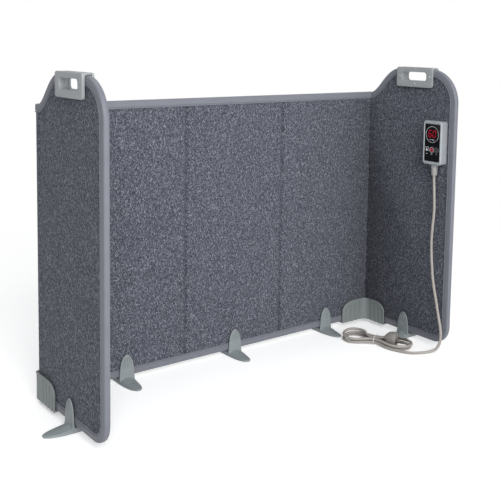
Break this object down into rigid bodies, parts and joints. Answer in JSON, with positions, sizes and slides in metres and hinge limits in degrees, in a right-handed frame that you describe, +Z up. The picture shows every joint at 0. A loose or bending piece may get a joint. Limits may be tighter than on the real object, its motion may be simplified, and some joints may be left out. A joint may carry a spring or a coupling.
{
  "type": "under desk heater panel",
  "caption": "Folding felt heating screen that stands round the legs under a desk, with raised handled wings, a wing controller, clip-on feet and a hanked supply cord.",
  "frame": {"origin": "on the floor, centred under the part without its cord: midway between the wings, and midway between the wings front edges and the wall feet back tips", "axes": "+X along the wall to the right, +Y to the back, away from the open side, +Z up"},
  "size_m": [0.782, 0.2618, 0.5115],
  "materials": {
    "felt": "matte heathered felt",
    "heating_film": "matte",
    "core_board": "matte",
    "edging": "satin",
    "handle": "satin",
    "screw": "satin",
    "foot": "satin",
    "corner_clip": "satin",
    "controller_case": "satin",
    "controller_frame": "satin",
    "display_glass": "gloss black",
    "circuit_board": "satin green",
    "cord": "matte",
    "tie": "satin white",
    "plug": "matte",
    "pin": "satin"
  },
  "bodies": {
    "middle_wall": {"middle_wall_inner_felt": "felt", "middle_wall_heating_film": "heating_film", "middle_wall_core_board": "core_board", "middle_wall_outer_felt": "felt", "middle_wall_bottom_edging": "edging", "middle_wall_top_edging": "edging", "middle_wall_foot": "foot"},
    "left_wall": {"left_wall_inner_felt": "felt", "left_wall_heating_film": "heating_film", "left_wall_core_board": "core_board", "left_wall_outer_felt": "felt", "left_wall_bottom_edging": "edging", "left_wall_top_edging": "edging", "left_wall_foot": "foot"},
    "right_wall": {"right_wall_inner_felt": "felt", "right_wall_heating_film": "heating_film", "right_wall_core_board": "core_board", "right_wall_outer_felt": "felt", "right_wall_bottom_edging": "edging", "right_wall_top_edging": "edging", "right_wall_foot": "foot"},
    "left_wing": {"left_wing_inner_felt": "felt", "left_wing_heating_film": "heating_film", "left_wing_core_board": "core_board", "left_wing_outer_felt": "felt", "left_wing_edging": "edging", "left_wing_handle_outer_plate": "handle", "left_wing_handle_inner_plate": "handle", "left_wing_handle_screw_1": "screw", "left_wing_handle_screw_2": "screw", "left_wing_handle_screw_3": "screw", "left_wing_foot": "foot", "left_corner_clip": "corner_clip"},
    "right_wing": {"right_wing_inner_felt": "felt", "right_wing_heating_film": "heating_film", "right_wing_core_board": "core_board", "right_wing_outer_felt": "felt", "right_wing_edging": "edging", "right_wing_handle_outer_plate": "handle", "right_wing_handle_inner_plate": "handle", "right_wing_handle_screw_1": "screw", "right_wing_handle_screw_2": "screw", "right_wing_handle_screw_3": "screw", "right_wing_foot": "foot", "right_corner_clip": "corner_clip", "controller_case": "controller_case", "controller_front_frame": "controller_frame", "controller_glass": "display_glass", "controller_circuit_board": "circuit_board", "strain_relief": "cord", "supply_cord": "cord", "cord_hank": "cord", "cord_tie": "tie", "plug_body": "plug", "plug_pin_1": "pin", "plug_pin_2": "pin"}
  },
  "joints": [
    {"name": "left_wall_fold", "type": "hinge", "parent": "middle_wall", "child": "left_wall", "pos_m": [-0.0872, 0.08325, 0], "axis": [0, 0, 1], "range_deg": [-60, 60]},
    {"name": "right_wall_fold", "type": "hinge", "parent": "middle_wall", "child": "right_wall", "pos_m": [0.1188, 0.08325, 0], "axis": [0, 0, -1], "range_deg": [-60, 60]},
    {"name": "left_wing_fold", "type": "hinge", "parent": "left_wall", "child": "left_wing", "pos_m": [-0.3484, 0.0883, 0], "axis": [0, 0, -1], "range_deg": [0, 90], "deforming": ["left_corner_clip"]},
    {"name": "right_wing_fold", "type": "hinge", "parent": "right_wall", "child": "right_wing", "pos_m": [0.3484, 0.0883, 0], "axis": [0, 0, 1], "range_deg": [0, 90], "deforming": ["right_corner_clip"]}
  ]
}
